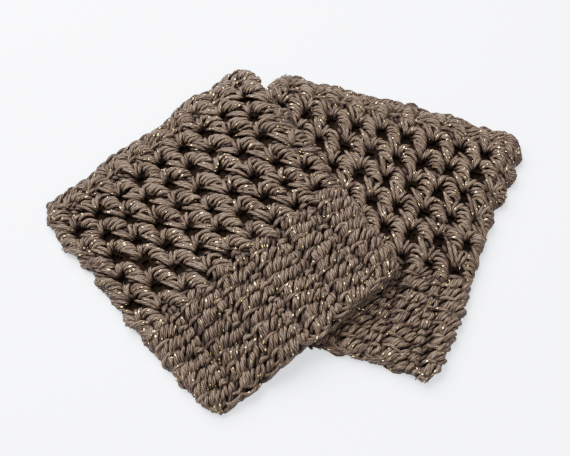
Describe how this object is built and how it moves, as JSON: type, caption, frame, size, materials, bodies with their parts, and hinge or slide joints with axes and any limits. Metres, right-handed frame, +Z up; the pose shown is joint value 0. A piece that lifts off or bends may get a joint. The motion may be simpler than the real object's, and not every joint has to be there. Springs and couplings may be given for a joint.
{
  "type": "pair of crocheted boot cuffs",
  "caption": "Pair of crocheted boot cuffs laid flat, one partly over the other: ribbed bands, open-stitch legs with gaps, and roped top edges.",
  "frame": {"origin": "middle of the pair's footprint, on the surface that it lies on", "axes": "+X to the right as the pair is seen, along its longest side, +Y away from the viewer, +Z up"},
  "size_m": [0.295, 0.2164, 0.0231],
  "materials": {
    "yarn": "taupe four-ply yarn with a pale gold metallic thread, crocheted"
  },
  "bodies": {
    "root": {"front_band": "yarn", "front_leg_over": "yarn", "front_leg_under": "yarn", "front_edging": "yarn", "back_band": "yarn", "back_leg_over": "yarn", "back_leg_under": "yarn", "back_edging": "yarn"}
  },
  "joints": []
}
